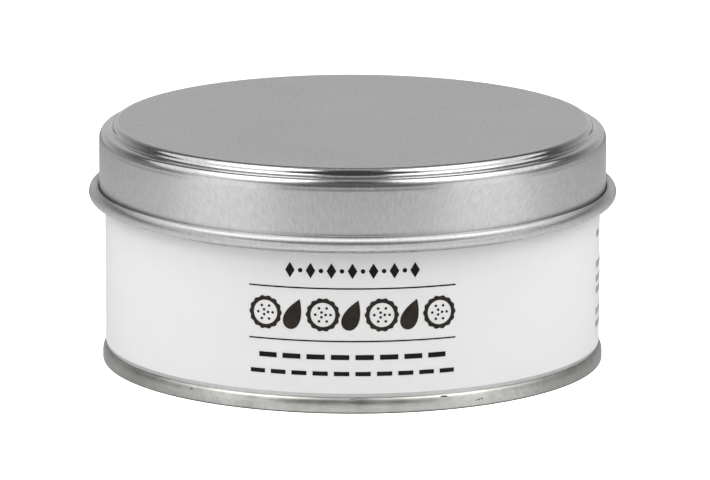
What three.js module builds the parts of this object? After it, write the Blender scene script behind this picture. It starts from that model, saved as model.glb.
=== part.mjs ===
// A shut round tin with a slip-over lid, a base joined on by a double seam, and a paper label.
// Millimetres, +Z up. The origin is the centre of the underside, and the label's front faces -Y.

import * as THREE from "three";

// The whole tin
const facets = 72; // round every piece alike, so that the faces of neighbours stay parallel
const sheet = 0.3; // tinplate, as modelled
const gap = 0.1; // between neighbouring pieces

// Body wall, and the filling up to the lid that it is modelled solid with
const bodyRadius = 49.5;

// Label, one turn of paper round the body
const paper = 0.15;
const glueLine = 0.05;
const labelBottom = 3.95;
const labelTop = 32.6;

// Lid: a flat panel raised by a step inside a rounded shoulder, and a straight skirt
const panelHeight = 48.4; // the tin's full height
const stepRadius = 47.95; // outside of the step's wall
const panelRound = 1.15;
const stepFillet = 0.4;
const ledgeHeight = 46.8;
const shoulderRound = 1.6;
const skirtRadius = 50.85;

// Curl: the lid's lower edge, rolled outwards into a bead
const curlRadius = 52.95; // the tin's widest point
const curlMiddle = 34.3;
const curlHalfHeight = 1.42;

// Base: a panel set up inside the double seam, which is what the tin stands on
const seamRadius = 50.3;
const seamInnerRadius = 49.0;
const seamHeight = 3.15;
const seamWidest = 1.3; // height of the widest point, above which the seam closes in on the body
const seamFootRound = 0.3;
const seamLipRound = 0.3;
const panelCorner = 0.6;

// Points along part of an ellipse in the plane of radius and height.
// Angles are in degrees, counted from straight outwards, upwards positive.
function arc(centre, halfWidth, halfHeight, from, to, steps) {
  return Array.from({ length: steps + 1 }, (_, i) => {
    const angle = THREE.MathUtils.degToRad(THREE.MathUtils.lerp(from, to, i / steps));
    return new THREE.Vector2(
      centre.x + halfWidth * Math.cos(angle),
      centre.y + halfHeight * Math.sin(angle),
    );
  });
}

function round(centre, radius, from, to, steps) {
  return arc(centre, radius, radius, from, to, steps);
}

function at(radius, height) {
  return new THREE.Vector2(radius, height);
}

// A profile that runs outwards along the underside, up the outside and back in over the top,
// turned once round the Z axis.
function turned(name, profile, look) {
  const geometry = new THREE.LatheGeometry(profile, facets);
  geometry.rotateX(Math.PI / 2);
  const mesh = new THREE.Mesh(geometry, new THREE.MeshStandardMaterial(look));
  mesh.name = name;
  return mesh;
}

const tinplate = { color: 0xb4b4b4, roughness: 0.38, metalness: 1 };
const seamTinplate = { color: 0xb6b7b0, roughness: 0.42, metalness: 1 };
const whitePaper = { color: 0xf3f3f2, roughness: 0.85, metalness: 0 };

// Centres that the lid's outer and inner faces share, so that the sheet is one thickness
const panelCentre = at(stepRadius - panelRound, panelHeight - panelRound);
const filletCentre = at(stepRadius + stepFillet, ledgeHeight + stepFillet);
const shoulderCentre = at(skirtRadius - shoulderRound, ledgeHeight - shoulderRound);
const skirtInnerRadius = skirtRadius - sheet;

function makeLid() {
  const underside = [
    at(0, panelHeight - sheet),
    ...round(panelCentre, panelRound - sheet, 90, 0, 3),
    ...round(filletCentre, stepFillet + sheet, 180, 270, 3),
    ...round(shoulderCentre, shoulderRound - sheet, 90, 0, 4),
  ];

  // The curl starts down the skirt's inner face, rolls outwards and up, and closes on its outer face
  const curlHalfWidth = (curlRadius - skirtInnerRadius) / 2;
  const curlCentre = at(curlRadius - curlHalfWidth, curlMiddle);
  const closing = THREE.MathUtils.radToDeg(Math.acos((skirtRadius - curlCentre.x) / curlHalfWidth));
  const curl = arc(curlCentre, curlHalfWidth, curlHalfHeight, 180, 360 + closing, 16);

  const outside = [
    ...round(shoulderCentre, shoulderRound, 0, 90, 6),
    ...round(filletCentre, stepFillet, 270, 180, 3),
    ...round(panelCentre, panelRound, 0, 90, 5),
    at(0, panelHeight),
  ];
  return turned("lid", [...underside, ...curl, ...outside], tinplate);
}

function makeBody() {
  const bottom = seamHeight + gap;
  const rim = ledgeHeight - sheet - gap;
  const top = panelHeight - sheet - gap;
  const topRadius = panelCentre.x - gap;
  return turned("tin_body", [
    at(0, bottom),
    at(bodyRadius, bottom),
    at(bodyRadius, rim),
    at(topRadius, rim),
    at(topRadius, top),
    at(0, top),
  ], tinplate);
}

function makeBase() {
  const panelUnderside = seamHeight - sheet;
  const corner = at(seamInnerRadius - panelCorner, panelUnderside - panelCorner);
  const lip = at(seamInnerRadius + seamLipRound, seamLipRound);
  const foot = at(seamRadius - seamFootRound, seamFootRound);
  const crownCentre = at(bodyRadius, seamWidest);
  const crown = arc(crownCentre, seamRadius - bodyRadius, seamHeight - seamWidest, 0, 90, 6);
  return turned("base_end", [
    at(0, panelUnderside),
    ...round(corner, panelCorner, 90, 0, 3),
    ...round(lip, seamLipRound, 180, 270, 3),
    ...round(foot, seamFootRound, 270, 360, 3),
    ...crown,
    at(0, seamHeight),
  ], seamTinplate);
}

function makeLabel() {
  const inner = bodyRadius + glueLine;
  const outer = inner + paper;
  return turned("label", [
    at(inner, labelBottom),
    at(outer, labelBottom),
    at(outer, labelTop),
    at(inner, labelTop),
    at(inner, labelBottom),
  ], whitePaper);
}

const tin = new THREE.Group();
tin.add(makeLid(), makeBody(), makeBase(), makeLabel());

export default tin;
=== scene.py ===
import math
import random

import bpy
import numpy as np
from mathutils import Matrix, Vector


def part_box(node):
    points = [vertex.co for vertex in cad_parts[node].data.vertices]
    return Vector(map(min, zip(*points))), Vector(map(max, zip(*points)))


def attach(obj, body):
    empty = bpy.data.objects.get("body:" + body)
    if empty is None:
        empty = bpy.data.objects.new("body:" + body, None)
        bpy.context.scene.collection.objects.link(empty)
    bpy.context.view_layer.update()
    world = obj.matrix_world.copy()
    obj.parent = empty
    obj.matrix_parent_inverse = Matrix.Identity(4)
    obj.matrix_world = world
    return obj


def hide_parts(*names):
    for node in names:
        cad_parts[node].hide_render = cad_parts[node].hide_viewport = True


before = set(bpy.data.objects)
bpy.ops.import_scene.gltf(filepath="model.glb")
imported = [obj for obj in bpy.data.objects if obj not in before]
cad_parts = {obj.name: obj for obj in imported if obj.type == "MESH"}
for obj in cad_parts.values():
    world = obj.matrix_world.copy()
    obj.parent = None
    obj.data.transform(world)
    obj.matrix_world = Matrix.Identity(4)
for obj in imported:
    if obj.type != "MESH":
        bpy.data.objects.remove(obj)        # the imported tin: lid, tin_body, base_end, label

# The tin is drawn in millimetres, which become metres where a mesh is made.
mm = 0.001
scene = bpy.context.scene
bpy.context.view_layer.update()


def nodeSize(node):  # outer radius, lowest and highest point of a CAD node, in mm
    low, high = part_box(node)
    return high.x / mm, low.z / mm, high.z / mm


lidRadius, lidBottom, lidTop = nodeSize("lid")
bodyRadius, _, bodyTop = nodeSize("tin_body")
seamRadius, _, seamTop = nodeSize("base_end")
labelRadius, labelBottom, labelTop = nodeSize("label")
print("frame: tin %.1f mm across, %.1f mm tall" % (2 * lidRadius, lidTop))

meshSetup = {
    "mergeGap": 0.0005,       # mm, closes seams and poles
    "samePoint": 1e-6,        # mm, a section skips a point this near to its last
    "sharpBend": 50,          # degrees past which an edge is shaded sharp
    "unevennessScale": 35.0,  # waves per metre in a turned sheet
}


# Small helpers for building node trees

def addNode(tree, kind, **settings):
    made = tree.nodes.new(kind)
    for key, value in settings.items():
        setattr(made, key, value)
    return made


def feed(tree, socket, value):  # a link from another socket, or a plain value
    if isinstance(value, bpy.types.NodeSocket):
        tree.links.new(value, socket)
    else:
        socket.default_value = value


def fill(tree, made, **values):  # inputs by name, with _ for a space
    for key, value in values.items():
        feed(tree, made.inputs[key.replace("_", " ")], value)
    return made


def result(tree, kind, settings=None, **values):  # the first output of a new node with these inputs
    return fill(tree, addNode(tree, kind, **(settings or {})), **values).outputs[0]


def calc(tree, operation, first, second=None, third=None):
    made = addNode(tree, "ShaderNodeMath", operation=operation)
    for socket, value in zip(made.inputs, (first, second, third)):
        if value is not None:
            feed(tree, socket, value)
    return made.outputs[0]


def times(tree, first, second):
    return calc(tree, "MULTIPLY", first, second)


def diagonal(tree, first, second):
    return calc(tree, "SQRT", calc(tree, "ADD", times(tree, first, first), times(tree, second, second)))


def vectorCalc(tree, operation, first, second=None, scale=None):
    made = addNode(tree, "ShaderNodeVectorMath", operation=operation)
    feed(tree, made.inputs[0], first)
    if second is not None:
        feed(tree, made.inputs[1], second)
    if scale is not None:
        feed(tree, made.inputs["Scale"], scale)
    return made.outputs[0]


def splitVector(tree, vector):
    made = addNode(tree, "ShaderNodeSeparateXYZ")
    feed(tree, made.inputs[0], vector)
    return made.outputs


def joinVector(tree, x=0.0, y=0.0, z=0.0):
    made = addNode(tree, "ShaderNodeCombineXYZ")
    for socket, value in zip(made.inputs, (x, y, z)):
        feed(tree, socket, value)
    return made.outputs[0]


def reachOut(tree, reach, x, y, z=0.0):  # this far from the axis, in the direction (x, y)
    return joinVector(tree, times(tree, reach, x), times(tree, reach, y), z)


def remap(tree, value, fromLow, fromHigh, toLow, toHigh, smooth=False):
    made = addNode(tree, "ShaderNodeMapRange")
    made.interpolation_type = "SMOOTHSTEP" if smooth else "LINEAR"
    for socket, setting in zip(made.inputs, (value, fromLow, fromHigh, toLow, toHigh)):
        feed(tree, socket, setting)
    return made.outputs[0]


def position(tree):
    return addNode(tree, "GeometryNodeInputPosition").outputs[0]


def storedValue(tree, name):  # a number kept on the points
    return result(tree, "GeometryNodeInputNamedAttribute", {"data_type": "FLOAT"}, Name=name)


def joinParts(tree, *parts):
    made = addNode(tree, "GeometryNodeJoinGeometry")
    for part in parts:
        tree.links.new(part, made.inputs[0])
    return made.outputs[0]


def mergePoints(tree, mesh):
    return result(tree, "GeometryNodeMergeByDistance", Geometry=mesh, Distance=meshSetup["mergeGap"] * mm)


socketKinds = {
    "geometry": "NodeSocketGeometry",
    "material": "NodeSocketMaterial",
    "count": "NodeSocketInt",
    "size": "NodeSocketFloat",
    "value": "NodeSocketFloat",
    "vector": "NodeSocketVector",
}


def newTree(name, kind, inputs, outputs):
    tree = bpy.data.node_groups.new(name, kind)
    for label, sort in inputs:
        tree.interface.new_socket(name=label, in_out="INPUT", socket_type=socketKinds[sort])
    for label, sort in outputs:
        tree.interface.new_socket(name=label, in_out="OUTPUT", socket_type=socketKinds[sort])
    start = addNode(tree, "NodeGroupInput")
    end = addNode(tree, "NodeGroupOutput")
    return tree, start.outputs, end.inputs


def closeTree(tree, given, out, mesh):  # every tree ends in one plain mesh with its material
    mesh = result(tree, "GeometryNodeRealizeInstances", Geometry=mesh)
    mesh = result(tree, "GeometryNodeSetMaterial", Geometry=mesh, Material=given["Material"])
    feed(tree, out["Mesh"], mesh)
    return tree


def runTree(piece, tree, values, extra=None):
    modifier = piece.modifiers.new(tree.name, "NODES")
    modifier.node_group = tree
    for item in tree.interface.items_tree:
        if item.in_out == "INPUT" and item.name in values:
            modifier[item.identifier] = values[item.name]
    if extra:
        extra(piece)
    graph = bpy.context.evaluated_depsgraph_get()
    mesh = bpy.data.meshes.new_from_object(
        piece.evaluated_get(graph), preserve_all_data_layers=True, depsgraph=graph)
    piece.modifiers.clear()
    mesh.set_sharp_from_angle(angle=math.radians(meshSetup["sharpBend"]))
    old = piece.data
    piece.data = mesh
    mesh.name = piece.name
    bpy.data.meshes.remove(old)
    return piece


def newPiece(name, points, edges=(), attributes=None):
    mesh = bpy.data.meshes.new(name)
    mesh.from_pydata([[c * mm for c in p] for p in points], list(edges), [])
    for label, values in (attributes or {}).items():
        made = mesh.attributes.new(label, "FLOAT", "POINT")
        made.data.foreach_set("value", values)
    piece = bpy.data.objects.new(name, mesh)
    scene.collection.objects.link(piece)
    return piece


def settle(piece, slot, *nodes):  # last call on every piece
    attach(piece, "root")
    if nodes:
        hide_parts(*nodes)
    print("piece: %s, %d faces" % (piece.name, len(piece.data.polygons)))


# Shader groups that several finishes share

effectSetup = {
    "fineLines": 3.7,         # fine mill lines to each coarse one, and their share of the tone
    "fineShare": 0.35,
    "lineContrast": (0.32, 0.68),
    "cloudContrast": (0.3, 0.7),
    "spotTear": 6000.0,       # ragged bits per metre along a spot's edge
    "spotFade": (0.7, 1.1),   # where its edge fades, in half widths
    "toothPerMottle": 9.0,    # grains of paper tooth to each patch of its mottle
}


def makeRolledGrain():
    # fine lines that the mill leaves along the sheet, read from the flat blank
    e = effectSetup
    tree, given, out = newTree(
        "rolledGrain", "ShaderNodeTree",
        [("Blank", "vector"), ("Across", "value"), ("Along", "value")],
        [("Lines", "value"), ("Height", "value")])
    stretched = vectorCalc(tree, "MULTIPLY", given["Blank"],
                           joinVector(tree, given["Across"], given["Along"], given["Along"]))
    coarse = result(tree, "ShaderNodeTexNoise", Vector=stretched, Scale=1.0, Detail=4.0)
    fine = result(tree, "ShaderNodeTexNoise", Vector=stretched, Scale=e["fineLines"], Detail=2.0)
    both = calc(tree, "ADD", times(tree, coarse, 1 - e["fineShare"]), times(tree, fine, e["fineShare"]))
    feed(tree, out["Lines"], remap(tree, both, *e["lineContrast"], 0.0, 1.0))
    feed(tree, out["Height"], both)
    return tree


def makeHandling():
    # soft cloudy patches where the tin has been touched and wiped
    tree, given, out = newTree(
        "handling", "ShaderNodeTree",
        [("Place", "vector"), ("Scale", "value")],
        [("Patches", "value")])
    cloud = result(tree, "ShaderNodeTexNoise", Vector=given["Place"], Scale=given["Scale"],
                   Detail=3.0, Roughness=0.55, Distortion=0.4)
    feed(tree, out["Patches"], remap(tree, cloud, *effectSetup["cloudContrast"], 0.0, 1.0, smooth=True))
    return tree


def makeSpot():
    # one mark or patch of painted shade on the tin's wall, given by its angle from the front and its height
    tree, given, out = newTree(
        "spot", "ShaderNodeTree",
        [("Place", "vector"), ("Angle", "value"), ("Height", "value"), ("Half Width", "value"),
         ("Half Height", "value"), ("Ragged", "value"), ("Least Reach", "value")],
        [("Mask", "value")])
    x, y, z = splitVector(tree, given["Place"])
    angle = calc(tree, "ARCTAN2", x, times(tree, y, -1.0))
    reach = diagonal(tree, x, y)
    sideways = times(tree, calc(tree, "SUBTRACT", angle, given["Angle"]), reach)
    upwards = calc(tree, "SUBTRACT", z, given["Height"])
    distance = diagonal(tree, calc(tree, "DIVIDE", sideways, given["Half Width"]),
                        calc(tree, "DIVIDE", upwards, given["Half Height"]))
    edge = result(tree, "ShaderNodeTexNoise", Vector=given["Place"],
                  Scale=effectSetup["spotTear"], Detail=2.0)
    uneven = times(tree, calc(tree, "SUBTRACT", edge, 0.5), given["Ragged"])
    mask = remap(tree, calc(tree, "ADD", distance, uneven), *effectSetup["spotFade"], 1.0, 0.0, smooth=True)
    outside = calc(tree, "GREATER_THAN", reach, given["Least Reach"])
    feed(tree, out["Mask"], times(tree, mask, outside))
    return tree


def makeFibre():
    # the faint mottle and tooth of uncoated paper
    tree, given, out = newTree(
        "paperFibre", "ShaderNodeTree",
        [("Place", "vector"), ("Scale", "value")],
        [("Mottle", "value"), ("Tooth", "value")])
    cloud = result(tree, "ShaderNodeTexNoise", Vector=given["Place"], Scale=given["Scale"],
                   Detail=5.0, Roughness=0.6)
    tooth = result(tree, "ShaderNodeTexNoise", Vector=given["Place"], Detail=3.0, Roughness=0.7,
                   Scale=times(tree, given["Scale"], effectSetup["toothPerMottle"]))
    feed(tree, out["Mottle"], remap(tree, cloud, *effectSetup["cloudContrast"], 0.0, 1.0))
    feed(tree, out["Tooth"], tooth)
    return tree


rolledGrain = makeRolledGrain()
handling = makeHandling()
spot = makeSpot()
paperFibre = makeFibre()


def newMaterial(name, settings):
    material = bpy.data.materials.new(name)
    material.use_nodes = True
    tree = material.node_tree
    shader = tree.nodes["Principled BSDF"]
    for label, value in settings.items():
        shader.inputs[label].default_value = value
    return material, tree, shader


def useGroup(tree, group, **values):
    made = addNode(tree, "ShaderNodeGroup", node_tree=group)
    return fill(tree, made, **values).outputs


def objectPlace(tree):
    return addNode(tree, "ShaderNodeTexCoord").outputs["Object"]


def ownAttribute(tree, name, output="Vector"):
    return addNode(tree, "ShaderNodeAttribute", attribute_name=name).outputs[output]


def blendColours(tree, share, first, second):
    made = addNode(tree, "ShaderNodeMix", data_type="RGBA")
    fill(tree, made, Factor=share, A=first, B=second)
    colours = [s for s in made.outputs if s.type == "RGBA"]
    return colours[0]


def grey(value):
    return (value, value, value, 1.0)


def addBump(tree, shader, height, depth):
    bump = result(tree, "ShaderNodeBump", Height=height, Strength=1.0, Distance=depth * mm)
    feed(tree, shader.inputs["Normal"], bump)


def millFinish(tree, finish, blank, place):
    # what all the tinplate has: mill lines, wiped patches, and the roughness kept along its section
    grain = useGroup(tree, rolledGrain, Blank=blank,
                     Across=finish["linesAcross"], Along=finish["linesAlong"])
    patches = useGroup(tree, handling, Place=place, Scale=finish["patchScale"])["Patches"]
    rough = calc(tree, "MULTIPLY_ADD", patches, finish["wiped"], ownAttribute(tree, "rough", "Fac"))
    return grain, patches, rough


# Turning: a half section swept once round the axis

def makeTurnTree():
    tree, given, out = newTree(
        "turned", "GeometryNodeTree",
        [("Section", "geometry"), ("Segments", "count"), ("Unevenness", "size"),
         ("Unevenness Scale", "value"), ("Seed", "value"), ("Material", "material")],
        [("Mesh", "geometry")])
    counts = addNode(tree, "GeometryNodeAttributeDomainSize", component="MESH")
    rings = fill(tree, counts, Geometry=given["Section"]).outputs["Point Count"]
    mesh = result(tree, "GeometryNodeMeshGrid", Size_X=1.0, Size_Y=1.0,
                  Vertices_X=calc(tree, "ADD", given["Segments"], 1), Vertices_Y=rings)
    u, v, _ = splitVector(tree, position(tree))
    share = calc(tree, "ADD", u, 0.5)
    turn = calc(tree, "MULTIPLY_ADD", share, math.tau, math.pi / 2)  # starts at the back
    ring = times(tree, calc(tree, "ADD", v, 0.5), calc(tree, "SUBTRACT", rings, 1))
    whole = addNode(tree, "FunctionNodeFloatToInt", rounding_mode="ROUND")
    feed(tree, whole.inputs[0], ring)

    def alongSection(kind, value):
        return result(tree, "GeometryNodeSampleIndex", {"data_type": kind, "domain": "POINT"},
                      Geometry=given["Section"], Value=value, Index=whole.outputs[0])

    reach, _, height = splitVector(tree, alongSection("FLOAT_VECTOR", position(tree)))
    run, rough, oneWay, outwards, upwards = (
        alongSection("FLOAT", storedValue(tree, name))
        for name in ("run", "rough", "oneWay", "outwards", "upwards"))
    cosine = calc(tree, "COSINE", turn)
    sine = calc(tree, "SINE", turn)
    place = reachOut(tree, reach, cosine, sine, height)
    blank = reachOut(tree, run, cosine, sine)
    # the mill lines run along Y on the flat blank: the way across them, carried onto the turned shape
    along = reachOut(tree, outwards, cosine, sine, upwards)
    sideways = joinVector(tree, times(tree, sine, -1.0), cosine)
    across = vectorCalc(tree, "SUBTRACT", vectorCalc(tree, "SCALE", along, scale=cosine),
                        vectorCalc(tree, "SCALE", sideways, scale=sine))

    for name, kind, value in (("blank", "FLOAT_VECTOR", blank), ("across", "FLOAT_VECTOR", across),
                              ("rough", "FLOAT", rough), ("oneWay", "FLOAT", oneWay)):
        mesh = result(tree, "GeometryNodeStoreNamedAttribute", {"data_type": kind, "domain": "POINT"},
                      Geometry=mesh, Name=name, Value=value)
    mesh = result(tree, "GeometryNodeSetPosition", Geometry=mesh, Position=place)
    mesh = mergePoints(tree, mesh)
    noise = addNode(tree, "ShaderNodeTexNoise", noise_dimensions="4D")
    fill(tree, noise, Scale=given["Unevenness Scale"], W=given["Seed"], Detail=1.0, Vector=position(tree))
    push = vectorCalc(tree, "SUBTRACT", noise.outputs["Color"], (0.5, 0.5, 0.5))
    push = vectorCalc(tree, "SCALE", push, scale=given["Unevenness"])
    mesh = result(tree, "GeometryNodeSetPosition", Geometry=mesh, Offset=push)
    mesh = result(tree, "GeometryNodeSetShadeSmooth", Geometry=mesh)
    return closeTree(tree, given, out, mesh)


turned = makeTurnTree()

# directions in a section, in degrees counted from straight outwards
straightOut, straightUp, straightIn, straightDown, fullTurn = 0, 90, 180, 270, 360


def facing(degrees):  # unit direction in the section
    return np.array((math.cos(math.radians(degrees)), math.sin(math.radians(degrees))))


def eased(step, steps):  # from 0 to 1, slow at both ends
    return 0.5 - 0.5 * math.cos(math.pi * step / steps)


class Section:
    # a half section as (radius, height) points, each with the finish there: its roughness, and how much
    # more it spreads light across the mill lines than along them
    def __init__(self):
        self.points = []
        self.finish = []

    def add(self, point, finish):
        if not self.points or math.dist(point, self.points[-1]) > meshSetup["samePoint"]:
            self.points.append(point)
            self.finish.append(finish)

    def to(self, radius, height, finish, steps):  # straight, more than two steps shrink at both ends
        start = self.points[-1]
        for i in range(1, steps + 1):
            share = eased(i, steps) if steps > 2 else i / steps
            self.add((start[0] + (radius - start[0]) * share,
                      start[1] + (height - start[1]) * share), finish)

    def arc(self, centre, halfWidth, halfHeight, start, stop, finish, steps):
        for i in range(steps + 1):
            angle = math.radians(start + (stop - start) * i / steps)
            self.add((centre[0] + halfWidth * math.cos(angle),
                      centre[1] + halfHeight * math.sin(angle)), finish)

    def round(self, centre, radius, start, stop, finish, steps):
        self.arc(centre, radius, radius, start, stop, finish, steps)

    def runs(self):  # length of sheet from the axis, the shorter way to each point
        lengths = [math.dist(a, b) for a, b in zip(self.points, self.points[1:])]
        fromStart = np.concatenate([[0.0], np.cumsum(lengths)])
        return np.minimum(fromStart, fromStart[-1] - fromStart) + min(self.points[0][0], self.points[-1][0])

    def ways(self):  # unit direction at each point in which the run grows
        steps = np.gradient(np.array(self.points), axis=0)
        steps /= np.linalg.norm(steps, axis=1)[:, None]
        return steps * np.sign(np.gradient(self.runs()))[:, None]


def turnPiece(name, section, material, form):
    points = [(r, 0.0, z) for r, z in section.points]
    edges = [(i, i + 1) for i in range(len(points) - 1)]
    ways = section.ways()
    piece = newPiece(name, points, edges, {
        "run": section.runs() * mm,
        "outwards": ways[:, 0],
        "upwards": ways[:, 1],
        "rough": [f[0] for f in section.finish],
        "oneWay": [f[1] for f in section.finish]})
    return runTree(piece, turned, {
        "Segments": form["segments"], "Unevenness": form["unevenness"] * mm,
        "Unevenness Scale": meshSetup["unevennessScale"],
        "Seed": float(form["seed"]), "Material": material})


# Lid

lidSetup = {
    # form, in mm and degrees
    "sheet": 0.3,
    "panelRadius": 47.0,      # flat part of the raised panel
    "panelRound": 1.17,
    "stepLean": 17,           # degrees that the step leans out
    "stepFillet": 0.8,
    "ledgeFall": 5,           # degrees that the ledge round the panel falls outwards
    "shoulderRound": 0.85,    # turns over to this slope, then more gently
    "shoulderSlope": 58,
    "shoulderLow": 2.4,
    "shoulderStart": 20,      # degrees up the gentle round where the shoulder's finish begins
    "skirtTop": 45.04,
    "creaseDepth": 0.03,      # the skirt draws in this much below the shoulder, over this height
    "creaseTall": 0.75,
    "creaseSteps": 10,
    "skirtRadius": 50.85,
    "curlHigh": 1.49,         # half the rolled edge's height, and how far it hangs below the CAD's
    "curlDrop": 0.24,
    "curlUnder": 336,         # degrees round the curl where its underside's finish ends
    "curlMouth": 126,         # and, a turn later, where the rolled edge ends
    "unevenness": 0.015,
    "segments": 384,
    "seed": 3,
    # finish
    "bright": grey(0.592),
    "dull": grey(0.458),
    "flat": (0.28, 0.30),     # roughness and one-way spread, here of the plain sheet and below of its bends
    "bend": (0.14, 0.2),
    "shoulder": (0.17, 0.5),
    "rolled": (0.38, 0.9),
    "under": (0.15, 0.3),     # the rolled edge's underside
    "wiped": 0.03,            # more roughness where it has been touched
    "patchScale": 38.0,       # touched patches per metre
    "linesAcross": 1700.0,    # mill marks per metre
    "linesAlong": 560.0,
    "lineDepth": 0.0006,
}


def makeLidTinplate():
    f = lidSetup
    material, tree, shader = newMaterial("lidTinplate", {"Metallic": 1.0})
    grain, _, rough = millFinish(tree, f, ownAttribute(tree, "blank"), objectPlace(tree))
    fill(tree, shader, Base_Color=blendColours(tree, grain["Lines"], f["dull"], f["bright"]),
         Roughness=rough, Anisotropic=ownAttribute(tree, "oneWay", "Fac"),
         Tangent=ownAttribute(tree, "across"))
    addBump(tree, shader, grain["Height"], f["lineDepth"])
    return material


def makeLid():
    f = lidSetup
    sheet = f["sheet"]
    lean = f["stepLean"]
    flat, bend, shoulder, rolled, under = (
        f[k] for k in ("flat", "bend", "shoulder", "rolled", "under"))
    # the shoulder: two rounds with one tangent, ending in the ledge
    bent = straightUp - f["shoulderSlope"]
    level = straightUp - f["ledgeFall"]
    drawnIn = f["skirtRadius"] - f["creaseDepth"]
    low = np.array((drawnIn - f["shoulderLow"], f["skirtTop"]))
    corner = low + (f["shoulderLow"] - f["shoulderRound"]) * facing(bent)
    ledge = corner + f["shoulderRound"] * facing(level)
    # the step: over the panel's edge, down a lean, and out in a hollow round to the ledge
    edge = np.array((f["panelRadius"], lidTop - f["panelRound"]))
    wall = facing(lean)
    hollow = np.linalg.solve([wall, facing(level)], [
        wall @ edge + f["panelRound"] + f["stepFillet"], facing(level) @ ledge + f["stepFillet"]])
    skirtInside = f["skirtRadius"] - sheet
    curlWide = (lidRadius - skirtInside) / 2
    curlHigh = f["curlHigh"]
    curl = (lidRadius - curlWide, lidBottom - f["curlDrop"] + curlHigh)
    mouth = fullTurn + f["curlMouth"]

    section = Section()  # out along the inner face, round the curl, and back over the outer face
    section.add((0.0, lidTop - sheet), flat)
    section.to(edge[0], lidTop - sheet, flat, steps=6)
    section.round(edge, f["panelRound"] - sheet, straightUp, lean, flat, steps=5)
    section.round(hollow, f["stepFillet"] + sheet, straightIn + lean, straightIn + level, flat, steps=5)
    section.round(corner, f["shoulderRound"] - sheet, level, bent, flat, steps=5)
    section.round(low, f["shoulderLow"] - sheet, bent, straightOut, flat, steps=4)
    section.to(skirtInside, curl[1], flat, steps=6)
    section.arc(curl, curlWide, curlHigh, straightIn, f["curlUnder"], under, steps=28)
    section.arc(curl, curlWide, curlHigh, f["curlUnder"], mouth, rolled, steps=28)
    section.arc(curl, curlWide - sheet, curlHigh - sheet, mouth, straightIn, rolled, steps=18)
    section.to(f["skirtRadius"], f["skirtTop"] - f["creaseTall"], flat, steps=30)
    for i in range(1, f["creaseSteps"] + 1):
        section.add((f["skirtRadius"] - f["creaseDepth"] * eased(i, f["creaseSteps"]),
                     f["skirtTop"] - f["creaseTall"] * (1 - i / f["creaseSteps"])), flat)
    section.round(low, f["shoulderLow"], straightOut, f["shoulderStart"], flat, steps=8)
    section.round(low, f["shoulderLow"], f["shoulderStart"], bent, shoulder, steps=4)
    section.round(corner, f["shoulderRound"], bent, level, shoulder, steps=14)
    section.round(hollow, f["stepFillet"], straightIn + level, straightIn + lean, bend, steps=12)
    section.round(edge, f["panelRound"], lean, straightUp, bend, steps=16)
    section.to(0.0, lidTop, flat, steps=24)
    return turnPiece("lidPiece", section, makeLidTinplate(), f)


settle(makeLid(), "lid_tinplate", "lid")


# Body wall, bare only in a strip above the seam and under the curl

bodySetup = {
    # form, in mm
    "topDrop": 1.8,           # it ends this far below the CAD's top, inside the lid
    "unevenness": 0.02,
    "segments": 384,
    "seed": 5,
    # finish
    "bright": grey(0.56),
    "dull": grey(0.49),
    "plain": (0.30, 0.0),     # roughness and one-way spread
    "wiped": 0.08,
    "patchScale": 60.0,
    "linesAcross": 60.0,
    "linesAlong": 1400.0,
    "lineDepth": 0.001,
}


def makeBodyTinplate():
    f = bodySetup
    material, tree, shader = newMaterial("bodyTinplate", {"Metallic": 1.0})
    place = objectPlace(tree)
    grain, _, rough = millFinish(tree, f, place, place)
    fill(tree, shader, Base_Color=blendColours(tree, grain["Lines"], f["dull"], f["bright"]),
         Roughness=rough)
    addBump(tree, shader, grain["Height"], f["lineDepth"])
    return material


def makeBody():
    plain = bodySetup["plain"]
    top = bodyTop - bodySetup["topDrop"]
    section = Section()
    section.add((0.0, seamTop), plain)
    section.to(bodyRadius, seamTop, plain, steps=3)
    section.to(bodyRadius, top, plain, steps=24)
    section.to(0.0, top, plain, steps=3)
    return turnPiece("bodyPiece", section, makeBodyTinplate(), bodySetup)


settle(makeBody(), "body_tinplate", "tin_body")


# Base and its double seam

baseSetup = {
    # form, in mm
    "sheet": 0.3,
    "innerRadius": 49.0,
    "widest": 1.3,            # height of the seam's widest point
    "closeUp": 0.02,          # how near the seam closes in on the wall
    "footRound": 0.3,
    "lipRound": 0.3,
    "panelCorner": 0.6,
    "unevenness": 0.05,
    "segments": 720,
    "seed": 8,
    # finish
    "bright": (0.615, 0.62, 0.593, 1.0),
    "dull": (0.365, 0.37, 0.346, 1.0),
    # the dark tone of the nicks, also used for the painted shade along the foot and at the sides
    "nickAndShade": (0.035, 0.033, 0.03, 1.0),
    "plain": (0.34, 0.0),     # roughness and one-way spread
    "lineShare": 0.5,         # of the tone, the rest being the wiped patches
    "wiped": 0.08,
    "patchScale": 140.0,
    "linesAcross": 350.0,
    "linesAlong": 1700.0,
    "lineDepth": 0.004,
    "nickDepth": 8.0,         # in depths of the mill lines
    "nickRough": 0.3,
    "ragged": 0.9,
    "wallDepth": 0.3,         # marks reach this far in behind the wall's face, and no further
    "paintedFootShade": 0.75,            # painted shade along the foot: how much of the dark tone lies there, up to this height in mm
    "paintedFootShadeHeight": 0.42,
    "paintedFootShadeSolid": 0.4,        # share of that height before it fades
    # marks on the seam, the last two painted shade: degrees right of the front, height, half width, half
    # height in mm, and how dark
    "marks": [
        (21.0, 2.75, 0.85, 0.16, 1.0),
        (28.7, 1.35, 0.22, 0.10, 0.9),
        (29.5, 1.40, 0.30, 0.14, 1.0),
        (30.3, 1.52, 0.24, 0.16, 1.0),
        (-59.8, 2.95, 0.45, 0.14, 0.5),
        (-48.5, 2.60, 0.60, 0.22, 0.45),
        (-39.0, 2.35, 0.50, 0.30, 0.5),
        (49.5, 2.95, 0.55, 0.14, 0.5),
        (0.1, 2.85, 0.70, 0.14, 0.45),
        (-70.0, 1.30, 24.0, 9.0, 0.28),  # painted shade at either side, over the seam's lower face
        (70.0, 1.30, 24.0, 9.0, 0.28),
    ],
}


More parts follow.
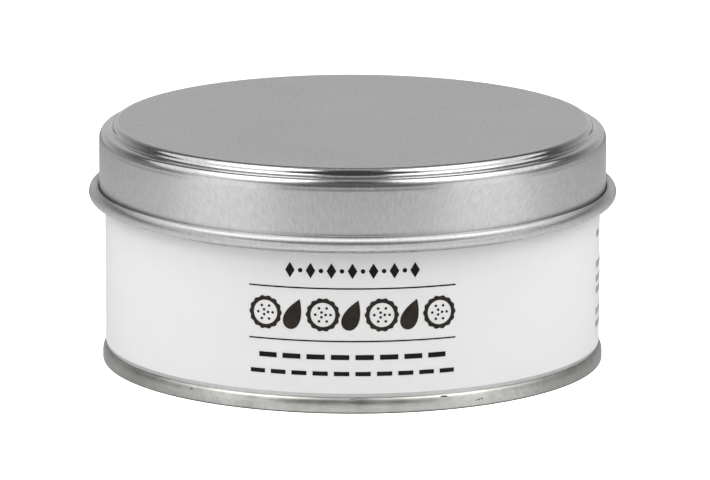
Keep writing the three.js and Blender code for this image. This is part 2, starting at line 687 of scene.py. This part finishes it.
def makeSeamTinplate():
    f = baseSetup
    material, tree, shader = newMaterial("seamTinplate", {"Metallic": 1.0})
    place = objectPlace(tree)
    grain, patches, rough = millFinish(tree, f, place, place)
    _, _, height = splitVector(tree, place)
    # painted shade: the seam darkens towards its foot, as in a contact shadow
    marksAndShade = remap(tree, height, f["paintedFootShadeSolid"] * f["paintedFootShadeHeight"] * mm, f["paintedFootShadeHeight"] * mm,
                 f["paintedFootShade"], 0.0, smooth=True)
    # darker again at each listed mark: nicks and specks, and the two patches of painted shade at the sides
    for degrees, rise, halfWidth, halfHeight, dark in f["marks"]:
        mask = useGroup(tree, spot, Place=place, Angle=math.radians(degrees), Height=rise * mm,
                        Half_Width=halfWidth * mm, Half_Height=halfHeight * mm, Ragged=f["ragged"],
                        Least_Reach=(bodyRadius - f["wallDepth"]) * mm)["Mask"]
        marksAndShade = calc(tree, "MAXIMUM", marksAndShade, times(tree, mask, dark))
    tone = calc(tree, "ADD", times(tree, grain["Lines"], f["lineShare"]),
                times(tree, patches, 1 - f["lineShare"]))
    plain = blendColours(tree, tone, f["dull"], f["bright"])
    fill(tree, shader, Base_Color=blendColours(tree, marksAndShade, plain, f["nickAndShade"]),
         Roughness=calc(tree, "MULTIPLY_ADD", marksAndShade, f["nickRough"], rough))
    pitted = calc(tree, "SUBTRACT", grain["Height"], times(tree, marksAndShade, f["nickDepth"]))
    addBump(tree, shader, pitted, f["lineDepth"])
    return material


def makeBase():
    f = baseSetup
    panel = seamTop - f["sheet"]
    corner = (f["innerRadius"] - f["panelCorner"], panel - f["panelCorner"])
    lip = (f["innerRadius"] + f["lipRound"], f["lipRound"])
    foot = (seamRadius - f["footRound"], f["footRound"])
    crown = (bodyRadius + f["closeUp"], f["widest"])
    crownWide = seamRadius - crown[0]
    crownHigh = seamTop - f["widest"]
    plain = f["plain"]
    section = Section()
    section.add((0.0, panel), plain)
    section.to(corner[0], panel, plain, steps=16)
    section.round(corner, f["panelCorner"], straightUp, straightOut, plain, steps=8)
    section.round(lip, f["lipRound"], straightIn, straightDown, plain, steps=6)
    section.round(foot, f["footRound"], straightDown, fullTurn, plain, steps=8)
    section.arc(crown, crownWide, crownHigh, straightOut, straightUp, plain, steps=26)
    section.to(0.0, seamTop, plain, steps=2)
    return turnPiece("basePiece", section, makeSeamTinplate(), f)


settle(makeBase(), "seam_tinplate", "base_end")


# Label: one turn of paper, its end glued over its start at the back

labelSetup = {
    # form, in mm
    "paper": 0.15,
    "shortBy": 0.62,          # its top edge is this far below the CAD's, under the lid's rolled edge
    "lapAngle": 160,          # degrees right of the front where the outer end is glued down
    "lapWidth": 7.0,
    "lapLift": 0.16,
    "lapRise": (0.012, 0.004),  # radians before its start where it begins to lift, and past it
    "ripple": 0.03,
    "rippleMiddle": 0.62,     # above the noise's own middle, so that the paper leans in on the wall
    "rippleAround": 3.0,      # waves to a radius of the tin, and to a metre of its height
    "rippleUp": 40.0,
    "around": 520,
    "rows": 28,
    "seed": 11,
    # finish
    "pale": (0.810, 0.810, 0.806, 1.0),
    "mottle": (0.795, 0.795, 0.791, 1.0),
    "gloss": 0.35,
    "rough": (0.66, 0.58),    # in the mottle, and in the pale
    "fibreScale": 150.0,
    "toothDepth": 0.003,
}


def makeLabelPaper():
    f = labelSetup
    material, tree, shader = newMaterial("labelPaper", {"Specular IOR Level": f["gloss"]})
    fibre = useGroup(tree, paperFibre, Place=objectPlace(tree), Scale=f["fibreScale"])
    fill(tree, shader, Base_Color=blendColours(tree, fibre["Mottle"], f["mottle"], f["pale"]),
         Roughness=remap(tree, fibre["Mottle"], 0.0, 1.0, *f["rough"]))
    addBump(tree, shader, fibre["Tooth"], f["toothDepth"])
    return material


def makeLabelTree():
    f = labelSetup
    tree, given, out = newTree(
        "wrappedPaper", "GeometryNodeTree",
        [("Start", "geometry"), ("Around", "count"), ("Rows", "count"), ("Radius", "size"),
         ("Bottom", "size"), ("Top", "size"), ("Lap Angle", "value"), ("Lap Width", "size"),
         ("Lap Lift", "size"), ("Ripple", "size"), ("Seed", "value"), ("Material", "material")],
        [("Mesh", "geometry")])
    mesh = result(tree, "GeometryNodeMeshGrid", Size_X=1.0, Size_Y=1.0,
                  Vertices_X=given["Around"], Vertices_Y=given["Rows"])
    u, v, _ = splitVector(tree, position(tree))
    lap = calc(tree, "DIVIDE", given["Lap Width"], given["Radius"])
    turn = times(tree, calc(tree, "ADD", u, 0.5), calc(tree, "ADD", lap, math.tau))
    liftsOff, lifted = f["lapRise"]
    over = remap(tree, turn, math.tau - liftsOff, math.tau + lifted, 0.0, 1.0, smooth=True)
    height = remap(tree, v, -0.5, 0.5, given["Bottom"], given["Top"])
    angle = calc(tree, "ADD", turn, calc(tree, "SUBTRACT", given["Lap Angle"], lap))
    x = calc(tree, "SINE", angle)
    y = times(tree, calc(tree, "COSINE", angle), -1.0)
    waves = joinVector(tree, times(tree, x, f["rippleAround"]), times(tree, y, f["rippleAround"]),
                       times(tree, height, f["rippleUp"]))
    noise = result(tree, "ShaderNodeTexNoise", {"noise_dimensions": "4D"}, W=given["Seed"], Scale=1.0,
                   Detail=2.0, Vector=waves)
    ripple = times(tree, calc(tree, "SUBTRACT", noise, f["rippleMiddle"]), given["Ripple"])
    reach = calc(tree, "ADD", ripple, calc(tree, "MULTIPLY_ADD", over, given["Lap Lift"], given["Radius"]))
    mesh = result(tree, "GeometryNodeSetPosition", Geometry=mesh,
                  Position=reachOut(tree, reach, x, y, height))
    mesh = result(tree, "GeometryNodeSetShadeSmooth", Geometry=mesh)
    return closeTree(tree, given, out, mesh)


def makeLabel():
    f = labelSetup

    def thicken(piece):
        solid = piece.modifiers.new("paper", "SOLIDIFY")
        solid.thickness = f["paper"] * mm
        solid.offset = -1.0

    piece = newPiece("labelPiece", [(0.0, 0.0, 0.0)])
    return runTree(piece, makeLabelTree(), {
        "Around": f["around"], "Rows": f["rows"], "Radius": labelRadius * mm,
        "Bottom": labelBottom * mm, "Top": (labelTop - f["shortBy"]) * mm,
        "Lap Angle": math.radians(f["lapAngle"]), "Lap Width": f["lapWidth"] * mm,
        "Lap Lift": f["lapLift"] * mm, "Ripple": f["ripple"] * mm,
        "Seed": float(f["seed"]), "Material": makeLabelPaper()}, thicken)


settle(makeLabel(), "label_paper", "label")


# Print: plain marks laid out flat, then wrapped round the label as a film of ink

inkSetup = {
    "lift": 0.02,             # off the paper, and the film's own thickness
    "film": 0.02,
    "main": (0.020, 0.0155, 0.012),
    "small": (0.006, 0.0048, 0.004),
    "side": (0.27, 0.27, 0.27),
    "gloss": 0.1,
    "rough": (0.45, 0.58),    # where the ink is full, and where it is thin
    "thinGain": 1.5,          # thin ink is this much paler, and a little more
    "thinLift": 0.006,
    "fibreScale": 400.0,
}


def makeInk(name):
    f = inkSetup
    material, tree, shader = newMaterial(name + "Ink", {"Specular IOR Level": f["gloss"]})
    fibre = useGroup(tree, paperFibre, Place=objectPlace(tree), Scale=f["fibreScale"])
    full = f[name] + (1.0,)
    thin = tuple(c * f["thinGain"] + f["thinLift"] for c in f[name]) + (1.0,)
    fill(tree, shader, Base_Color=blendColours(tree, fibre["Mottle"], full, thin),
         Roughness=remap(tree, fibre["Mottle"], 0.0, 1.0, *f["rough"]))
    return material


def makeMarkTree(name, drawShape):
    # one flat shape of unit size on every point, scaled to the point's own width and height
    tree, given, out = newTree(
        name, "GeometryNodeTree",
        [("Points", "geometry"), ("Radius", "size"), ("Film", "size"), ("Tilt", "value"),
         ("Cuts", "count"), ("Material", "material")],
        [("Mesh", "geometry")])
    marks = result(tree, "GeometryNodeInstanceOnPoints", Points=given["Points"],
                   Instance=drawShape(tree), Rotation=joinVector(tree, z=given["Tilt"]),
                   Scale=joinVector(tree, storedValue(tree, "wide"), storedValue(tree, "tall"), 1.0))
    mesh = result(tree, "GeometryNodeRealizeInstances", Geometry=marks)
    mesh = result(tree, "GeometryNodeSubdivideMesh", Mesh=mesh, Level=given["Cuts"])
    along, height, _ = splitVector(tree, position(tree))
    angle = calc(tree, "DIVIDE", along, given["Radius"])
    frontwards = times(tree, calc(tree, "COSINE", angle), -1.0)
    place = reachOut(tree, given["Radius"], calc(tree, "SINE", angle), frontwards, height)
    inner = result(tree, "GeometryNodeSetPosition", Geometry=mesh, Position=place)
    outer = result(tree, "GeometryNodeExtrudeMesh", {"mode": "FACES"}, Mesh=inner,
                   Offset_Scale=given["Film"], Individual=False)
    back = result(tree, "GeometryNodeFlipFaces", Mesh=inner)
    return closeTree(tree, given, out, mergePoints(tree, joinParts(tree, outer, back)))


def curveAngle(tree):
    factor = addNode(tree, "GeometryNodeSplineParameter").outputs["Factor"]
    return times(tree, factor, math.tau)


def circleCurve(tree, sides, radius=0.5):
    return result(tree, "GeometryNodeCurvePrimitiveCircle", Resolution=sides, Radius=radius)


def fillCurve(tree, curve):
    return result(tree, "GeometryNodeFillCurve", {"mode": "TRIANGLES"}, Curve=curve)


def rowOf(count, pitch, wide, tall, height):  # centred on the front, each with its place and its size
    return [((i - (count - 1) / 2) * pitch, height, wide, tall) for i in range(count)]


def printPiece(name, drawShape, marks, ink, cuts, tilt=0.0):
    piece = newPiece(name, [(m[0], m[1], 0.0) for m in marks], (),
                     {"wide": [m[2] * mm for m in marks], "tall": [m[3] * mm for m in marks]})
    runTree(piece, makeMarkTree(name, drawShape), {
        "Radius": (labelRadius + inkSetup["lift"]) * mm, "Film": inkSetup["film"] * mm,
        "Tilt": math.radians(tilt), "Cuts": cuts, "Material": ink})
    settle(piece, "label_paper")


mainInk, smallInk, sideInk = (makeInk(name) for name in ("main", "small", "side"))

# the two rules
ruleSetup = {"heights": (24.9, 14.4), "wide": 41.4, "tall": 0.28, "cuts": 4}


def drawDash(tree):
    return result(tree, "GeometryNodeMeshGrid", Size_X=1.0, Size_Y=1.0, Vertices_X=9, Vertices_Y=2)


rules = [(0.0, height, ruleSetup["wide"], ruleSetup["tall"]) for height in ruleSetup["heights"]]
printPiece("printRules", drawDash, rules, smallInk, ruleSetup["cuts"])

# between them a row of biscuits, as wide as the rules, with almonds in its gaps
biscuitSetup = {
    "row": {"count": 4, "wide": 6.8, "tall": 6.8, "height": 19.65},
    "cuts": 2,
    "radius": 0.48,           # in a square of unit size, as all the marks are drawn
    "scallops": 14,
    "scallopDepth": 0.035,    # share of the radius
    "innerRadius": 0.355,     # inside of its outline
    "holeRing": 0.22,         # six docking holes in a ring, and three about the middle
    "holeMiddle": 0.08,
    "hole": 0.04,
}
almondSetup = {
    "row": {"count": 3, "wide": 3.4, "tall": 6.4, "height": 19.65},
    "cuts": 3,
    "tilt": -22,
    "halfWidth": 0.65,        # before its ends draw in
    "halfHeight": 0.5,
}


def drawBiscuit(tree):  # the outline of a scalloped round, with docking holes as dots
    b = biscuitSetup
    wave = calc(tree, "COSINE", times(tree, curveAngle(tree), b["scallops"]))
    swell = calc(tree, "MULTIPLY_ADD", wave, b["scallopDepth"], 1.0)
    rim = circleCurve(tree, sides=168, radius=b["radius"])
    edge = result(tree, "GeometryNodeSetPosition", Geometry=rim,
                  Position=vectorCalc(tree, "SCALE", position(tree), scale=swell))
    inside = circleCurve(tree, sides=96, radius=b["innerRadius"])
    ring = result(tree, "GeometryNodeMeshCircle", Vertices=6, Radius=b["holeRing"])
    middle = result(tree, "GeometryNodeMeshCircle", Vertices=3, Radius=b["holeMiddle"])
    holes = result(tree, "GeometryNodeInstanceOnPoints", Points=joinParts(tree, ring, middle),
                   Instance=circleCurve(tree, sides=18, radius=b["hole"]))
    holes = result(tree, "GeometryNodeRealizeInstances", Geometry=holes)
    return fillCurve(tree, joinParts(tree, edge, inside, holes))


def drawAlmond(tree):  # pointed at the top, round at the foot
    a = almondSetup
    angle = curveAngle(tree)
    across = times(tree, calc(tree, "SINE", angle), calc(tree, "SINE", times(tree, angle, 0.5)))
    place = joinVector(tree, times(tree, across, a["halfWidth"]),
                       times(tree, calc(tree, "COSINE", angle), a["halfHeight"]))
    edge = result(tree, "GeometryNodeSetPosition", Geometry=circleCurve(tree, sides=72), Position=place)
    return fillCurve(tree, edge)


biscuitRow = biscuitSetup["row"]
pitch = (ruleSetup["wide"] - biscuitRow["wide"]) / (biscuitRow["count"] - 1)
biscuits = rowOf(pitch=pitch, **biscuitRow)
almonds = rowOf(pitch=pitch, **almondSetup["row"])
printPiece("printBiscuits", drawBiscuit, biscuits, mainInk, biscuitSetup["cuts"])
printPiece("printAlmonds", drawAlmond, almonds, mainInk, almondSetup["cuts"], almondSetup["tilt"])

# above them diamonds, with dots between
diamondSetup = {"row": {"count": 7, "pitch": 4.1, "wide": 1.9, "tall": 3.1, "height": 28.4}, "cuts": 3}
dotSetup = {"row": {"count": 6, "pitch": 4.1, "wide": 0.9, "tall": 0.9, "height": 28.4}, "cuts": 1}


def drawDiamond(tree):
    return fillCurve(tree, circleCurve(tree, sides=4))


def drawDot(tree):
    return fillCurve(tree, circleCurve(tree, sides=28))


printPiece("printDiamonds", drawDiamond, rowOf(**diamondSetup["row"]), smallInk, diamondSetup["cuts"])
printPiece("printDots", drawDot, rowOf(**dotSetup["row"]), smallInk, dotSetup["cuts"])

# below them two rows of dashes
dashSetup = {
    "upper": {"count": 8, "pitch": 4.8, "wide": 3.6, "tall": 1.0, "height": 11.2},
    "lower": {"count": 10, "pitch": 4.2, "wide": 3.0, "tall": 0.85, "height": 7.9},
    "cuts": 1,
}
dashes = rowOf(**dashSetup["upper"]) + rowOf(**dashSetup["lower"])
printPiece("printDashes", drawDash, dashes, smallInk, dashSetup["cuts"])

# and a block of dashes on the right side
sideSetup = {
    "start": 67.8,            # mm of arc right of the front where its rows begin
    "rows": [(27.2, 1), (20.9, 3), (18.0, 4), (15.7, 4), (11.3, 3), (8.7, 4)],  # height, dashes
    "wide": (2.5, 6.5),
    "tall": 1.3,
    "space": 1.1,
    "cuts": 1,
    "seed": 21,
}


def sideDashes():
    s = sideSetup
    draw = random.Random(s["seed"])
    made = []
    for height, count in s["rows"]:
        along = s["start"]
        for _ in range(count):
            wide = draw.uniform(*s["wide"])
            made.append((along + wide / 2, height, wide, s["tall"]))
            along += wide + s["space"]
    return made


printPiece("printSide", drawDash, sideDashes(), sideInk, sideSetup["cuts"])


# Studio: a white board, soft boxes at both sides and overhead, and a dim room

boardSetup = {                # metres
    "front": -0.42,
    "back": 0.90,
    "side": 0.45,
    "tone": 0.92,
    "mottle": 0.01,           # how much paler its patches are, and how many there are per metre
    "mottleScale": 3.0,
    "glow": 1.0,              # white to the camera
}
roomSetup = {
    # how far to the back, and how bright it is there
    "tones": [(0.0, 0.065), (0.3, 0.12), (0.45, 0.27), (0.6, 0.42), (0.87, 0.66)],
    "skyDims": 0.5,           # less of it with height
}
# name, shape, degrees from the front, degrees up, metres away, width and height in metres, watts
softBoxes = [
    ("sideLeft", "ELLIPSE", -67, 44.5, 0.36, 0.50, 0.37, 0.55),
    ("sideRight", "ELLIPSE", 67, 44.5, 0.36, 0.50, 0.37, 0.55),
    ("middleLeft", "ELLIPSE", -51, 50, 0.355, 0.25, 0.26, 0.33),
    ("middleRight", "ELLIPSE", 54, 50, 0.355, 0.25, 0.26, 0.33),
    ("footLeft", "RECTANGLE", -53, 6.5, 0.38, 0.28, 0.09, 0.122),
    ("footRight", "RECTANGLE", 57, 6.5, 0.38, 0.27, 0.09, 0.116),
    ("overhead", "RECTANGLE", 180, 87, 0.50, 0.60, 0.36, 0.32),
]


def makeBoardWhite():
    b = boardSetup
    material, tree, shader = newMaterial("boardWhite", {"Roughness": 0.9, "Specular IOR Level": 0.0})
    patches = useGroup(tree, handling, Place=objectPlace(tree), Scale=b["mottleScale"])["Patches"]
    path = addNode(tree, "ShaderNodeLightPath").outputs
    fill(tree, shader,
         Base_Color=blendColours(tree, patches, grey(b["tone"]), grey(b["tone"] + b["mottle"])),
         Emission_Strength=times(tree, path["Is Camera Ray"], b["glow"]))
    # seen only from above: rays that come from below pass through it, and back out again
    below = addNode(tree, "ShaderNodeNewGeometry").outputs["Backfacing"]
    passed = calc(tree, "MINIMUM", path["Transparent Depth"], 1.0)
    oneSided = addNode(tree, "ShaderNodeMixShader")
    feed(tree, oneSided.inputs[0], calc(tree, "MAXIMUM", below, passed))
    tree.links.new(shader.outputs[0], oneSided.inputs[1])
    tree.links.new(addNode(tree, "ShaderNodeBsdfTransparent").outputs[0], oneSided.inputs[2])
    tree.links.new(oneSided.outputs[0], tree.nodes["Material Output"].inputs[0])
    return material


def makeBoard():
    b = boardSetup
    corners = [(-b["side"], b["front"]), (b["side"], b["front"]),
               (b["side"], b["back"]), (-b["side"], b["back"])]
    mesh = bpy.data.meshes.new("board")
    mesh.from_pydata([(x, y, 0.0) for x, y in corners], [], [(0, 1, 2, 3)])
    mesh.materials.append(makeBoardWhite())
    sheet = bpy.data.objects.new("board", mesh)
    scene.collection.objects.link(sheet)


def makeLights():
    for name, shape, degrees, rise, away, width, height, watts in softBoxes:
        light = bpy.data.lights.new(name, "AREA")
        light.shape = shape
        light.size = width
        light.size_y = height
        light.energy = watts
        box = bpy.data.objects.new(name, light)
        turn = math.radians(degrees)
        up = math.radians(rise)
        way = Vector((math.sin(turn) * math.cos(up), -math.cos(turn) * math.cos(up), math.sin(up)))
        box.location = way * away
        box.rotation_euler = way.to_track_quat("Z", "Y").to_euler()  # faces the tin
        box.visible_camera = False
        scene.collection.objects.link(box)


def makeRoom():
    world = bpy.data.worlds.new("room")
    world.use_nodes = True
    tree = world.node_tree
    _, back, up = splitVector(tree, addNode(tree, "ShaderNodeTexCoord").outputs["Generated"])
    ramp = addNode(tree, "ShaderNodeValToRGB")
    feed(tree, ramp.inputs[0], calc(tree, "SUBTRACT", back, times(tree, up, roomSetup["skyDims"])))
    stops = ramp.color_ramp.elements
    while len(stops) < len(roomSetup["tones"]):
        stops.new(0.5)
    for stop, (where, tone) in zip(stops, roomSetup["tones"]):
        stop.position = where
        stop.color = grey(tone)
    behind = addNode(tree, "ShaderNodeLightPath").outputs["Is Camera Ray"]  # white behind the tin
    feed(tree, tree.nodes["Background"].inputs["Color"],
         blendColours(tree, behind, ramp.outputs[0], grey(1.0)))
    scene.world = world


cameraSetup = {
    "away": 1387.4,           # mm from the tin's axis to the camera, and up from the floor
    "up": 329.1,
    "tiltDown": 12.414,       # degrees
    "roll": 0.08,
    "focalPixels": 7062.0,
    "shiftPixels": 2.46,      # the tin stands a little left of the middle
    "imageWidth": 710,
    "sensorWidth": 36.0,
    "farthest": 50.0,         # metres
}


def makeCamera():
    p = cameraSetup
    data = bpy.data.cameras.new("photoCamera")
    data.sensor_width = p["sensorWidth"]
    data.lens = p["focalPixels"] / p["imageWidth"] * p["sensorWidth"]
    data.shift_x = p["shiftPixels"] / p["imageWidth"]
    data.clip_end = p["farthest"]
    camera = bpy.data.objects.new("photoCamera", data)
    camera.location = (0.0, -p["away"] * mm, p["up"] * mm)
    tilt = Matrix.Rotation(math.radians(90 - p["tiltDown"]), 3, "X")
    roll = Matrix.Rotation(math.radians(p["roll"]), 3, "Z")
    camera.rotation_euler = (tilt @ roll).to_euler()
    scene.collection.objects.link(camera)
    scene.camera = camera


makeBoard()
makeLights()
makeRoom()
makeCamera()
scene.view_settings.view_transform = "Standard"
print("studio: board, %d soft boxes and camera in place" % len(softBoxes))
